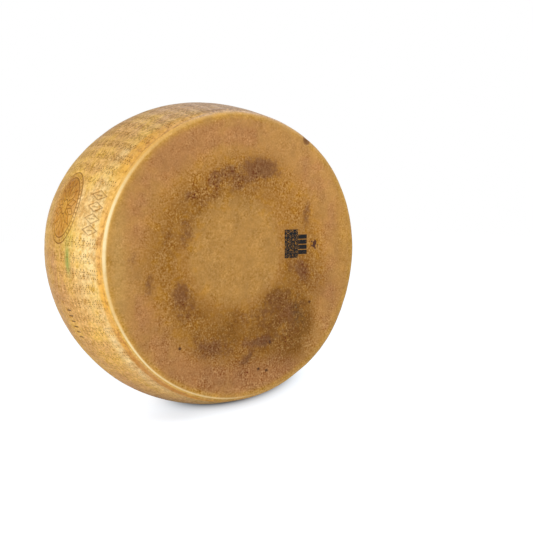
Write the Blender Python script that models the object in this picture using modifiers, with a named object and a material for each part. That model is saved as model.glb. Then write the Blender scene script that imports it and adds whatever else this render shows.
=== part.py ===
"""A whole wheel of hard aged cheese, standing upright on its curved side.

The wheel's axis lies along Y, the face that shows looks toward -Y, and Z is up.
The origin is on the floor under the middle of the wheel. Lengths are in metres.

The wheel is turned from a profile, then made uneven as a cheese pressed by hand is: a little
out of round, with a rim that wanders, shallow dents, and a small flat where its weight rests.
In the wheel's own frame Z runs along the axis toward the shown face, and Y is up.
"""

import math

import bpy
from mathutils import Vector

# Driving dimensions
BELLY_RADIUS = 0.2175
END_RADIUS = 0.1940
WIDTH = 0.2300
FLAT_DEPTH = 0.0016

# The side swells from each end to the middle by this power law
BELLY_POWER = 1.78

# The rounded rim between a face and the side
EDGE_REACH = 0.016
EDGE_DEPTH = 0.006
EDGE_POWER = 2.5

# The groove that the mould's band leaves just behind each rim
GROOVE_SETBACK = 0.0090
GROOVE_HALF_WIDTH = 0.0032
GROOVE_DEPTH = 0.0016

# The faces sink a little toward the middle
DISH_DEPTH = 0.0012

# How finely the solid is cut
STEPS_AROUND = 108
FACE_RINGS = 4
EDGE_STEPS = 5
BELLY_STEPS = 12

# Out of round: for each number of lobes, the cosine and sine shares of the radius
OUT_OF_ROUND = {2: (0.0018, 0.0028), 3: (0.0004, 0.0066)}

# The rim wanders: for each number of waves, its size and its phase on the two faces
RIM_WANDER = {1: (0.0006, 0.4, 2.9), 3: (0.0009, 4.0, 0.9), 5: (0.0004, 5.2, 0.7), 8: (0.0003, 1.3, 3.6)}
WANDER_POWER = 5

# Shallow dents on the side: degrees around, place along the axis, radius and depth
SIDE_DENTS = [
    (200, -0.035, 0.045, 0.0011),
    (128, 0.060, 0.040, 0.0010),
    (74, -0.070, 0.050, 0.0012),
    (332, 0.030, 0.048, 0.0011),
    (17, -0.020, 0.040, 0.0009),
]

RIND_COLOUR = (0.56, 0.33, 0.11, 1.0)
RIND_ROUGHNESS = 0.55


def clear_scene():
    for obj in list(bpy.data.objects):
        bpy.data.objects.remove(obj, do_unlink=True)


def belly_radius(share):
    """The side's radius at a share of the way from the middle (0) to either face (1 or -1)."""
    return BELLY_RADIUS - (BELLY_RADIUS - END_RADIUS) * abs(share) ** BELLY_POWER


def radius_at_depth(depth):
    """The side's radius at a depth behind a face, without the groove."""
    return belly_radius(1 - 2 * depth / WIDTH)


def groove_at_depth(depth):
    """How far the groove sinks the side at a depth behind a face."""
    off = (depth - GROOVE_SETBACK) / GROOVE_HALF_WIDTH
    return GROOVE_DEPTH * math.cos(off * math.pi / 2) ** 2 if abs(off) < 1 else 0.0


def face_points(inner_edge):
    """Radius and depth of the face's rings, from its middle out to where the rim turns."""
    points = []
    for ring in range(FACE_RINGS + 1):
        share = math.sqrt(ring / (FACE_RINGS + 1))
        points.append((inner_edge * share, DISH_DEPTH * (1 - share**2)))
    return points


def edge_points(outer_radius):
    """Radius and depth along the rim's quarter superellipse, from the face to the side."""
    points = []
    for step in range(EDGE_STEPS + 1):
        turn = step / EDGE_STEPS * math.pi / 2
        out = max(math.sin(turn), 0.0) ** (2 / EDGE_POWER)
        back = max(math.cos(turn), 0.0) ** (2 / EDGE_POWER)
        points.append((outer_radius - EDGE_REACH * (1 - out), EDGE_DEPTH * (1 - back)))
    return points


def groove_points():
    """Radius and depth through the groove, after the point that ends the rim."""
    depths = (GROOVE_SETBACK, GROOVE_SETBACK + GROOVE_HALF_WIDTH / 2, GROOVE_SETBACK + GROOVE_HALF_WIDTH)
    return [(radius_at_depth(depth) - groove_at_depth(depth), depth) for depth in depths]


def half_profile():
    """Radius and depth from a face's middle to the far side of the groove."""
    outer_radius = radius_at_depth(EDGE_DEPTH)
    return face_points(outer_radius - EDGE_REACH) + edge_points(outer_radius) + groove_points()


def wheel_profile():
    """The whole profile in the XZ plane, from the shown face's middle to the other face's."""
    half = half_profile()
    front = [(radius, WIDTH / 2 - depth) for radius, depth in half]
    back = [(radius, depth - WIDTH / 2) for radius, depth in reversed(half)]
    end = front[-1][1]
    belly = []
    for step in range(1, BELLY_STEPS):
        axial = end * (1 - 2 * step / BELLY_STEPS)
        belly.append((belly_radius(2 * axial / WIDTH), axial))
    return front + belly + back


def turned_mesh(name, profile):
    """A closed mesh turned about Z from a profile of radius and height."""
    outline = bpy.data.meshes.new(name + "_profile")
    points = [(radius, 0.0, height) for radius, height in profile]
    outline.from_pydata(points, [(i, i + 1) for i in range(len(points) - 1)], [])
    turning = bpy.data.objects.new(name + "_profile", outline)
    bpy.context.scene.collection.objects.link(turning)
    screw = turning.modifiers.new("turn", "SCREW")
    screw.axis = "Z"
    screw.steps = STEPS_AROUND
    screw.render_steps = STEPS_AROUND
    screw.use_merge_vertices = True
    screw.merge_threshold = 0.00001
    graph = bpy.context.evaluated_depsgraph_get()
    mesh = bpy.data.meshes.new_from_object(turning.evaluated_get(graph))
    bpy.data.objects.remove(turning, do_unlink=True)
    mesh.name = name
    return mesh


def out_of_round(angle):
    """The factor on the radius at an angle around the axis."""
    factor = 1.0
    for lobes, (cosine, sine) in OUT_OF_ROUND.items():
        factor += cosine * math.cos(lobes * angle) + sine * math.sin(lobes * angle)
    return factor


def rim_wander(angle, front):
    """How far the rim of one face strays at an angle around the axis."""
    stray = 0.0
    for waves, (size, front_phase, back_phase) in RIM_WANDER.items():
        stray += size * math.sin(waves * angle + (front_phase if front else back_phase))
    return stray


def dents(angle, axial):
    """How far the side is pushed in at an angle and a place along the axis."""
    sunk = 0.0
    for degrees, place, radius, depth in SIDE_DENTS:
        around = (angle - math.radians(degrees) + math.pi) % (2 * math.pi) - math.pi
        off = math.hypot(around * BELLY_RADIUS, axial - place) / radius
        if off < 1:
            sunk += depth * (1 - off**2) ** 2
    return sunk


def uneven_point(point):
    """Where a point of the true turned wheel lies on the uneven one."""
    radius = math.hypot(point.x, point.y)
    angle = math.atan2(point.y, point.x)
    share = 2 * point.z / WIDTH
    stray = rim_wander(angle, share > 0)
    near_face = abs(share) ** WANDER_POWER * (radius / END_RADIUS) ** 2
    pushed_in = dents(angle, point.z) * (radius / BELLY_RADIUS)
    uneven_radius = radius * out_of_round(angle) + stray * near_face - pushed_in
    axial = point.z + math.copysign(stray * near_face, share)
    return Vector((uneven_radius * math.cos(angle), uneven_radius * math.sin(angle), axial))


def make_uneven(mesh):
    for vertex in mesh.vertices:
        vertex.co = uneven_point(vertex.co)


def press_flat(mesh):
    """Presses the lowest part of the side, which is toward -Y here, onto a flat."""
    floor = min(vertex.co.y for vertex in mesh.vertices) + FLAT_DEPTH
    for vertex in mesh.vertices:
        vertex.co.y = max(vertex.co.y, floor)


def rind_material():
    material = bpy.data.materials.new("rind")
    material.use_nodes = True
    shader = material.node_tree.nodes["Principled BSDF"]
    shader.inputs["Base Color"].default_value = RIND_COLOUR
    shader.inputs["Roughness"].default_value = RIND_ROUGHNESS
    shader.inputs["Metallic"].default_value = 0.0
    material.diffuse_color = RIND_COLOUR
    return material


def stand_up(obj):
    """Turns the wheel's axis from Z to -Y and stands it with its box centred on the origin."""
    obj.rotation_euler = (math.pi / 2, 0, 0)
    xs = [vertex.co.x for vertex in obj.data.vertices]
    ys = [vertex.co.y for vertex in obj.data.vertices]
    zs = [vertex.co.z for vertex in obj.data.vertices]
    obj.location = (-(min(xs) + max(xs)) / 2, (min(zs) + max(zs)) / 2, -min(ys))


def build_wheel():
    mesh = turned_mesh("cheese_wheel", wheel_profile())
    make_uneven(mesh)
    press_flat(mesh)
    mesh.materials.clear()
    mesh.materials.append(rind_material())
    mesh.shade_smooth()
    wheel = bpy.data.objects.new("cheese_wheel", mesh)
    stand_up(wheel)
    return wheel


def main():
    clear_scene()
    collection = bpy.data.collections.new("parmesan_wheel")
    bpy.context.scene.collection.children.link(collection)
    collection.objects.link(build_wheel())


main()
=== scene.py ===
# The looks of a whole wheel of hard aged cheese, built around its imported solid.
#
# Lengths are in metres unless said. An angle turns about the wheel's axis, from +X toward +Z. A depth
# is behind the shown face, which looks toward -Y. Places on a face are x to the right and z up from
# its middle.

import math
import random
from functools import partialmethod

import bpy
import numpy as np
from mathutils import Euler, Matrix, Vector, noise


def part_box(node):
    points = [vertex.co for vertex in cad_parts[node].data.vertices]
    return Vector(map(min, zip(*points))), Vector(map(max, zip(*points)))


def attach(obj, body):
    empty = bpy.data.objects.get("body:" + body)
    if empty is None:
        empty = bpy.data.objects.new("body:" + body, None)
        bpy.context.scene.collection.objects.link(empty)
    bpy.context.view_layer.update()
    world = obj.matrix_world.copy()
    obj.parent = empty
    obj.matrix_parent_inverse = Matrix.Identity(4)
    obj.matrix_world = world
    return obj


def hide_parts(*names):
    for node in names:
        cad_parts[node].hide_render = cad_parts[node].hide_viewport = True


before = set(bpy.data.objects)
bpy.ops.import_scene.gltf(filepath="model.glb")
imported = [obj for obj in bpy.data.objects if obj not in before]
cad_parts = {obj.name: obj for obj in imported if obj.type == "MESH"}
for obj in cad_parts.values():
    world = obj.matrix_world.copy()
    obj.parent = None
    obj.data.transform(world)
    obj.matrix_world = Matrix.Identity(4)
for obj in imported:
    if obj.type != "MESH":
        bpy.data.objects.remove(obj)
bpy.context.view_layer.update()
wheel_low, wheel_high = (np.array(corner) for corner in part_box("cheese_wheel"))

# The wheel's form, as the solid has it
BELLY_RADIUS = 0.2175
END_RADIUS = 0.194
WIDTH = 0.23
FLAT_DEPTH = 0.0016
BELLY_POWER = 1.78
EDGE_REACH = 0.016
EDGE_DEPTH = 0.006
EDGE_POWER = 2.5
GROOVE_SETBACK = 0.009
GROOVE_HALF_WIDTH = 0.0032
GROOVE_DEPTH = 0.0016
DISH_DEPTH = 0.0012
OUT_OF_ROUND = {2: (0.0018, 0.0028), 3: (0.0004, 0.0066)}
RIM_WANDER = {1: (0.0006, 0.4, 2.9), 3: (0.0009, 4.0, 0.9), 5: (0.0004, 5.2, 0.7), 8: (0.0003, 1.3, 3.6)}
WANDER_POWER = 5
SIDE_DENTS = [
    (200, -0.035, 0.045, 0.0011), (128, 0.06, 0.04, 0.001), (74, -0.07, 0.05, 0.0012),
    (332, 0.03, 0.048, 0.0011), (17, -0.02, 0.04, 0.0009),
]

# The rows of pin dots that run across the side, and the cells of the mesh that carry them
DOT_ROWS = 66
ROW_ANGLE = 178.7
DOTS_TALL = 5
DOT_CELL = 0.0028
CELLS_PER_ROW = DOTS_TALL + 2
COLUMNS = DOT_ROWS * CELLS_PER_ROW
BELLY_CELLS = 102
DOT_DEPTH = 0.0008
DOT_DARKNESS = 1.05
ROW_SHIFT_CELLS = 6

# How finely the rest of the mesh is cut. Inside each radius of a face, one column in so many is left.
FACE_RINGS = 30
EDGE_STEPS = 9
GROOVE_STEPS = 6
FINE = 3
SPARSE_COLUMNS = ((0.02, 42), (0.068, 6), (math.inf, 3))


def degrees_off(angle, degrees):
    """How far angles lie from a number of degrees, -180 to 180."""
    return (np.degrees(angle) - degrees + 180) % 360 - 180


# The profile and its unevenness
def belly_radius(share):
    return BELLY_RADIUS - (BELLY_RADIUS - END_RADIUS) * np.abs(share) ** BELLY_POWER


def radius_at_depth(depth):
    return belly_radius(1 - 2 * depth / WIDTH)


def groove_at_depth(depth):
    off = (depth - GROOVE_SETBACK) / GROOVE_HALF_WIDTH
    return GROOVE_DEPTH * math.cos(off * math.pi / 2) ** 2 if abs(off) < 1 else 0.0


def out_of_round(angle):
    factor = 1.0
    for lobes, (cosine, sine) in OUT_OF_ROUND.items():
        factor = factor + cosine * np.cos(lobes * angle) + sine * np.sin(lobes * angle)
    return factor


def rim_wander(angle, front):
    stray = 0.0
    for waves, (size, front_phase, back_phase) in RIM_WANDER.items():
        stray = stray + size * np.sin(waves * angle + np.where(front, front_phase, back_phase))
    return stray


def dents(angle, axial):
    sunk = np.zeros_like(angle)
    for degrees, place, radius, depth in SIDE_DENTS:
        turned = np.radians(degrees_off(angle, degrees))
        off = np.hypot(turned * BELLY_RADIUS, axial - place) / radius
        sunk += depth * np.clip(1 - off**2, 0, None) ** 2
    return sunk


def uneven_points(radius, axial, angle):
    """World places of points given by radius, place along the axis and angle."""
    share = 2 * axial / WIDTH
    stray = rim_wander(angle, share > 0)
    near_face = np.abs(share) ** WANDER_POWER * (radius / END_RADIUS) ** 2
    pushed_in = dents(angle, axial) * (radius / BELLY_RADIUS)
    radius = radius * out_of_round(angle) + stray * near_face - pushed_in
    axial = axial + np.copysign(stray * near_face, share)
    return np.stack([radius * np.cos(angle), -axial, radius * np.sin(angle)], axis=1)


def half_profile():
    """Radius and depth from the face's middle to where the belly starts, past the groove."""
    outer = float(radius_at_depth(EDGE_DEPTH))
    inner = outer - EDGE_REACH
    points = []
    for ring in range(FACE_RINGS):
        share = ring / FACE_RINGS
        points.append((inner * share, DISH_DEPTH * (1 - share**2)))
    for step in range(EDGE_STEPS + 1):
        turn = step / EDGE_STEPS * math.pi / 2
        out, back = math.sin(turn) ** (2 / EDGE_POWER), math.cos(turn) ** (2 / EDGE_POWER)
        points.append((outer - EDGE_REACH * (1 - out), EDGE_DEPTH * (1 - back)))
    belly_start = GROOVE_SETBACK + GROOVE_HALF_WIDTH
    for step in range(1, GROOVE_STEPS + 1):
        depth = EDGE_DEPTH + (belly_start - EDGE_DEPTH) * step / GROOVE_STEPS
        points.append((float(radius_at_depth(depth)) - groove_at_depth(depth), depth))
    return points


HALF = half_profile()
BELLY_DEPTH = HALF[-1][1]
FIRST_BELLY = len(HALF) - 1
LAST_BELLY = FIRST_BELLY + BELLY_CELLS


def profile():
    """Radius and place along the axis of every station, from one face's middle to the other's."""
    front = [(radius, WIDTH / 2 - depth) for radius, depth in HALF]
    back = [(radius, depth - WIDTH / 2) for radius, depth in reversed(HALF)]
    reach = WIDTH / 2 - BELLY_DEPTH
    belly = []
    for step in range(1, BELLY_CELLS):
        axial = reach * (1 - 2 * step / BELLY_CELLS)
        belly.append((float(belly_radius(2 * axial / WIDTH)), axial))
    return np.array(front + belly + back)


STATIONS = profile()
LAST_STATION = len(STATIONS) - 1


def column_angles():
    """The angle of every column's start: each row of dots has a wide cell at either end."""
    pitch = math.tau / DOT_ROWS
    dot = DOT_CELL / BELLY_RADIUS
    wide = (pitch - DOTS_TALL * dot) / 2
    steps = [wide] + [dot] * DOTS_TALL + [wide]
    start = math.radians(ROW_ANGLE) - pitch / 2
    return start + np.concatenate([[0], np.cumsum(steps * DOT_ROWS)])


ANGLES = column_angles()


def columns_at(station):
    """How many columns the ring of this station has."""
    ring = min(station, LAST_STATION - station)
    if ring >= FACE_RINGS - 1:
        return COLUMNS
    return next(COLUMNS // share for outer, share in SPARSE_COLUMNS if STATIONS[station, 0] < outer)


def angle_of(column):
    return np.interp(column, np.arange(COLUMNS + 1), ANGLES)


def depth_of(station):
    return WIDTH / 2 - np.interp(station, np.arange(len(STATIONS)), STATIONS[:, 1])


def around(degrees):
    """The distance along the belly from angle 0."""
    return math.radians(degrees) * BELLY_RADIUS


# Marks pressed into the side. A stroke's half width, depth and darkness come last in each group.
LOZENGE_ANGLES = (155.7, 160.0, 164.4, 168.6)
LOZENGE_DEPTHS = (0.0175, 0.0455)
LOZENGE_HALF_HEIGHT = 0.0068
LOZENGE_STROKE = (0.0011, 0.0012, 0.42)
OVAL_ANGLE = 161.5
OVAL_DEPTH = 0.103
OVAL_HALF_LENGTH = 0.049
OVAL_HALF_WIDTH = 0.037
OVAL_SHARES = (1.0, 0.84, 0.2)
OVAL_STEPS = 60
OVAL_STROKE = (0.0009, 0.0008, 0.65)
TICKS = 44
TICK_SHARES = (0.895, 0.95)
TICK_STROKE = (0.0008, 0.0008, 0.6)
PETALS = 14
PETAL_SHARES = (0.24, 0.54, 0.76)
PETAL_SPREAD = 0.4
PETAL_STROKE = (0.0009, 0.0008, 0.5)
DASH_ANGLES = [198.3 + 2.16 * step for step in range(6)]
DASH_DEPTHS = (0.0935, 0.104)
DASH_STROKE = (0.001, 0.0014, 1.0)

# Cells nearer to a stroke than this are cut finer
CLEAR_OF_STROKES = 0.0028

# Dots leave room for the marks: within this share of the oval, and in boxes of an angle, half a width
# in degrees and a range of depths, for the lozenges and for the dashes
OVAL_CLEARANCE = 1.08
CLEAR_BOXES = ((161.5, 9.5, 0.0, 0.103), (203.7, 7.5, 0.0875, 0.11))

# One lozenge with a bar in it, in a box that is 1 long across the side and runs from -1 to 1 around it
LOZENGE = (
    [(0.0, 0.0), (0.5, 1.0), (1.0, 0.0), (0.5, -1.0), (0.0, 0.0)],
    [(0.32, 0.0), (0.68, 0.0)],
)


def lozenge_strokes():
    """Strokes are lines of places, each a distance around the belly and a depth, with the line's form."""
    strokes = []
    start, end = LOZENGE_DEPTHS
    for degrees in LOZENGE_ANGLES:
        for line in LOZENGE:
            points = [(around(degrees) + rise * LOZENGE_HALF_HEIGHT, start + along * (end - start))
                      for along, rise in line]
            strokes.append((points, *LOZENGE_STROKE))
    return strokes


def oval_point(turn, share):
    return (around(OVAL_ANGLE) + share * OVAL_HALF_LENGTH * math.cos(turn),
            OVAL_DEPTH + share * OVAL_HALF_WIDTH * math.sin(turn))


def oval_strokes():
    """A rosette of pointed petals in a double oval line with ticks."""
    strokes = []
    for tick in range(TICKS):
        turn = math.tau * tick / TICKS
        strokes.append(([oval_point(turn, share) for share in TICK_SHARES], *TICK_STROKE))
    for share in OVAL_SHARES:
        points = [oval_point(math.tau * step / OVAL_STEPS, share) for step in range(OVAL_STEPS + 1)]
        strokes.append((points, *OVAL_STROKE))
    root, shoulder, tip = PETAL_SHARES
    for petal in range(PETALS):
        turn = math.tau * petal / PETALS
        side = PETAL_SPREAD * math.tau / PETALS
        points = [oval_point(turn, root), oval_point(turn - side, shoulder), oval_point(turn, tip),
                  oval_point(turn + side, shoulder), oval_point(turn, root)]
        strokes.append((points, *PETAL_STROKE))
    return strokes


LINE_STROKES = lozenge_strokes() + oval_strokes()
DASH_STROKES = [([(around(degrees), depth) for depth in DASH_DEPTHS], *DASH_STROKE)
                for degrees in DASH_ANGLES]


def line_distance(places, start, end):
    """The distance of each place from the line between two places."""
    start, end = np.array(start), np.array(end)
    run = end - start
    share = np.clip((places - start) @ run / (run @ run), 0, 1)
    return np.linalg.norm(places - start - share[:, None] * run, axis=1)


def stroke_relief(places, strokes):
    """How deep the strokes sink the surface at each place, how dark they are, and how near they run."""
    sunk, dark = np.zeros(len(places)), np.zeros(len(places))
    nearest = np.full(len(places), math.inf)
    for points, half_width, depth, darkness in strokes:
        distance = np.min([line_distance(places, a, b) for a, b in zip(points, points[1:])], axis=0)
        shape = np.exp(-((distance / half_width) ** 2))
        sunk = np.maximum(sunk, depth * shape)
        dark = np.maximum(dark, darkness * shape)
        nearest = np.minimum(nearest, distance)
    return sunk, dark, nearest


def flat_places(angle, station):
    """Places on the belly rolled out flat: the distance around it and the depth."""
    return np.stack([angle % math.tau * BELLY_RADIUS, depth_of(station)], axis=1)


def fine_cells():
    """The belly's cells that a stroke runs through or beside, which are cut finer."""
    stations = range(FIRST_BELLY, LAST_BELLY)
    grid = [(column, station) for column in range(COLUMNS) for station in stations]
    columns, stations = (np.array(grid) + 0.5).T
    places = flat_places(angle_of(columns), stations)
    close = stroke_relief(places, LINE_STROKES + DASH_STROKES)[2] < CLEAR_OF_STROKES
    return {cell for cell, near in zip(grid, close) if near}


# The rows of pin dots. The signs are plain ornaments, three dots wide and five tall, in runs with gaps.
SIGNS = (
    "#.. .#. ..# .#. #..", "..# .#. #.. .#. ..#", ".#. .#. ### .#. .#.",
    "#.# ... #.# ... #.#", "### ... ### ... ###", "#.# .#. #.# .#. #.#",
    "... .#. #.# .#. ...", "#.# #.# ... #.# #.#", ".#. ### .#. ### .#.",
)
SIGN_WIDTH = 3
SIGN_RUNS = (9, 7)
DOT_SEED = 31

# How the dots have worn: by a noise, by chance, and where a shelf has rubbed them
WEAR_SCALES = (4.0, 9)
LASTING_MIDDLE = 1.05
LASTING_SWING = 0.7
LASTING_CHANCE = (0.75, 1.0)
RUBBED_ANGLE = 243
RUBBED_SPREAD = 25
RUBBED = 0.55
WORN_AWAY = 0.25


def sign_row(generator):
    """Belly cells across the side that hold dots, for one row: a set of (cell, dot from below)."""
    dots = set()
    cell = 0
    while cell + SIGN_WIDTH <= BELLY_CELLS - ROW_SHIFT_CELLS:
        for length in SIGN_RUNS:
            for _ in range(length):
                for rise, line in enumerate(generator.choice(SIGNS).split()):
                    dots |= {(cell + place, rise) for place, mark in enumerate(line) if mark == "#"}
                cell += SIGN_WIDTH + 1
            cell += SIGN_WIDTH
    return {(cell, rise) for cell, rise in dots if cell < BELLY_CELLS - ROW_SHIFT_CELLS}


def oval_share(angle, depth):
    """How far a place is from the oval's middle, as a share of the way to its line."""
    return np.hypot((angle % math.tau * BELLY_RADIUS - around(OVAL_ANGLE)) / OVAL_HALF_LENGTH,
                    (depth - OVAL_DEPTH) / OVAL_HALF_WIDTH)


def kept_clear(column, station):
    """Whether no dot goes here, because a larger mark has the place."""
    angle, depth = angle_of(column + 0.5), depth_of(station + 0.5)
    return oval_share(angle, depth) < OVAL_CLEARANCE or any(
        abs(degrees_off(angle, degrees)) < half_degrees and shallow < depth < deep
        for degrees, half_degrees, shallow, deep in CLEAR_BOXES)


def dot_cells():
    """Every cell of the belly that holds a pin dot, with how well the dot has lasted, 0 to 1."""
    generator = random.Random(DOT_SEED)
    rows = [sign_row(generator) for _ in range(2)]
    dots = {}
    for row in range(DOT_ROWS):
        shift = ROW_SHIFT_CELLS * ((row + 1) % 2)
        for cell, rise in rows[row % 2]:
            column = row * CELLS_PER_ROW + 1 + rise
            station = FIRST_BELLY + cell + shift
            if kept_clear(column, station):
                continue
            angle = angle_of(column)
            scale, depth_scale = WEAR_SCALES
            at = Vector((math.cos(angle), math.sin(angle), depth_of(station) * depth_scale)) * scale
            lasting = min(max(LASTING_MIDDLE + LASTING_SWING * noise.noise(at), 0.0), 1.0)
            lasting *= generator.uniform(*LASTING_CHANCE)
            off = degrees_off(angle, RUBBED_ANGLE) / RUBBED_SPREAD
            lasting *= 1 - RUBBED * math.exp(-(off**4))
            if lasting > WORN_AWAY:
                dots[(column, station)] = lasting
    return dots


# Small pits: place on the shown face and size. Some more are strewn over the other face.
FRONT_PITS = [
    (-0.0931, -0.1175, 0.0012), (0.048, -0.1205, 0.0014), (0.0295, -0.1553, 0.0014),
    (0.0411, -0.1596, 0.0012), (0.1156, -0.0683, 0.0011),
]
STREWN_PITS = 9
STREWN_SEED = 8
STREWN_RADII = (0.08, 0.165)
STREWN_SIZES = (0.0005, 0.001)
PIT_DEPTH = 0.0014
PIT_RIM_SHARE = 0.2
PIT_RIM_DARKNESS = 0.85
PIT_CELL_MARGIN = 0.28


def within_cell(value, start, length):
    """The value, kept a margin inside a cell."""
    return min(max(value, start + PIT_CELL_MARGIN * length), start + (1 - PIT_CELL_MARGIN) * length)


def pit_cells():
    """Face cells that hold a pit: for each, where in the cell, and the pit's size."""
    generator = random.Random(STREWN_SEED)
    places = [(math.hypot(x, z), math.atan2(z, x), size, True) for x, z, size in FRONT_PITS]
    for _ in range(STREWN_PITS):
        radius, turn = generator.uniform(*STREWN_RADII), generator.uniform(0, math.tau)
        places.append((radius, turn, generator.uniform(*STREWN_SIZES), False))
    pits = {}
    for radius, turn, size, front in places:
        ring = radius / STATIONS[FACE_RINGS, 0] * FACE_RINGS
        place = ring if front else LAST_STATION - ring
        station = int(place)
        wide = COLUMNS // min(columns_at(station), columns_at(station + 1))
        angle = (turn - ANGLES[0]) % math.tau + ANGLES[0]
        column = float(np.interp(angle, ANGLES, np.arange(COLUMNS + 1)))
        start = int(column // wide) * wide
        pits[(start, station)] = (within_cell(column, start, wide), within_cell(place, station, 1),
                                  size, radius)
    return pits


# A point of the mesh is a column and a station, which may be fractions, how far it is sunk and how dark
# it is. Points on the grid are found again by their place in thirds of a cell.
points = []
grid_points = {}
faces = []


def add_point(column, station, sunk=0.0, dark=0.0):
    points.append((column, station, sunk, dark))
    return len(points) - 1


def grid_point(column_thirds, station_thirds):
    key = (column_thirds % (FINE * COLUMNS), station_thirds)
    if station_thirds in (0, FINE * LAST_STATION):
        key = (0, station_thirds)
    if key not in grid_points:
        grid_points[key] = add_point(key[0] / FINE, station_thirds / FINE)
    return grid_points[key]


def run_of_points(start, end, cut_finer):
    """Grid points from start up to but not including end, which share a column or a station. Where the
    cell on the other side isn't cut finer, only the corner is left."""
    if not cut_finer:
        return [grid_point(*start)]
    steps = max(abs(end[0] - start[0]), abs(end[1] - start[1]))
    step = ((end[0] - start[0]) // steps, (end[1] - start[1]) // steps)
    return [grid_point(start[0] + step[0] * i, start[1] + step[1] * i) for i in range(steps)]


def cell_loop(column, station, fine):
    """The points round a cell, in order, seen from outside."""
    corners = [(FINE * (column + i), FINE * (station + j)) for i, j in ((0, 0), (0, 1), (1, 1), (1, 0))]
    beside = [((column + i) % COLUMNS, station + j) for i, j in ((-1, 0), (0, 1), (1, 0), (0, -1))]
    return [point for start, end, cell in zip(corners, corners[1:] + corners[:1], beside)
            for point in run_of_points(start, end, cell in fine)]


def add_fine_cell(column, station):
    for i in range(FINE * column, FINE * (column + 1)):
        for j in range(FINE * station, FINE * (station + 1)):
            corners = (i, j), (i, j + 1), (i + 1, j + 1), (i + 1, j)
            faces.append(tuple(grid_point(*corner) for corner in corners))


def add_dot_cell(loop, column, station, lasting):
    """A cell whose middle is pushed in by a pin."""
    middle = add_point(column + 0.5, station + 0.5, DOT_DEPTH * lasting, DOT_DARKNESS * lasting)
    for start, end in zip(loop, loop[1:] + loop[:1]):
        faces.append((start, end, middle))


def add_side_cells():
    """The cells of every station whose rings have all the columns."""
    fine = fine_cells()
    dots = dot_cells()
    for station in range(FACE_RINGS - 1, LAST_STATION - FACE_RINGS + 1):
        for column in range(COLUMNS):
            if (column, station) in fine:
                add_fine_cell(column, station)
                continue
            loop = cell_loop(column, station, fine)
            if (column, station) in dots:
                add_dot_cell(loop, column, station, dots[(column, station)])
            else:
                faces.append(tuple(loop))


def add_pit(loop, column, station, size, radius):
    """A cell of a face with a round pit: its rim is a ring of points around the pit's middle."""
    across = size / radius / math.tau * COLUMNS
    along = size / STATIONS[FACE_RINGS, 0] * FACE_RINGS
    ring = []
    for corner in range(4):
        turn = math.radians(225 - 90 * corner)
        ring.append(add_point(column + across * math.cos(turn), station + along * math.sin(turn),
                              PIT_RIM_SHARE * PIT_DEPTH, PIT_RIM_DARKNESS))
    middle = add_point(column, station, PIT_DEPTH, 1.0)
    for corner in range(4):
        following = (corner + 1) % 4
        faces.append((*loop[corner], loop[following][0], ring[following], ring[corner]))
        faces.append((ring[corner], ring[following], middle))


def add_face_cells():
    """The cells between a face's rings, whose columns grow fewer toward its middle."""
    pits = pit_cells()
    for station in [*range(FACE_RINGS - 1), *range(LAST_STATION - FACE_RINGS + 1, LAST_STATION)]:
        near_columns, far_columns = columns_at(station), columns_at(station + 1)
        if station == 0:
            near_columns = far_columns
        if station == LAST_STATION - 1:
            far_columns = near_columns
        wide = COLUMNS // min(near_columns, far_columns)
        for start in range(0, COLUMNS, wide):
            end = start + wide
            near = [grid_point(FINE * column, FINE * station)
                    for column in range(end, start, -(COLUMNS // near_columns))]
            far = [grid_point(FINE * column, FINE * (station + 1))
                   for column in range(start, end, COLUMNS // far_columns)]
            left = [grid_point(FINE * start, FINE * station)]
            right = [grid_point(FINE * end, FINE * (station + 1))]
            if (start, station) in pits and near_columns == far_columns:
                add_pit([left, far, right, near], *pits[(start, station)])
                continue
            faces.append(tuple(dict.fromkeys(left + far + right + near)))


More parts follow.
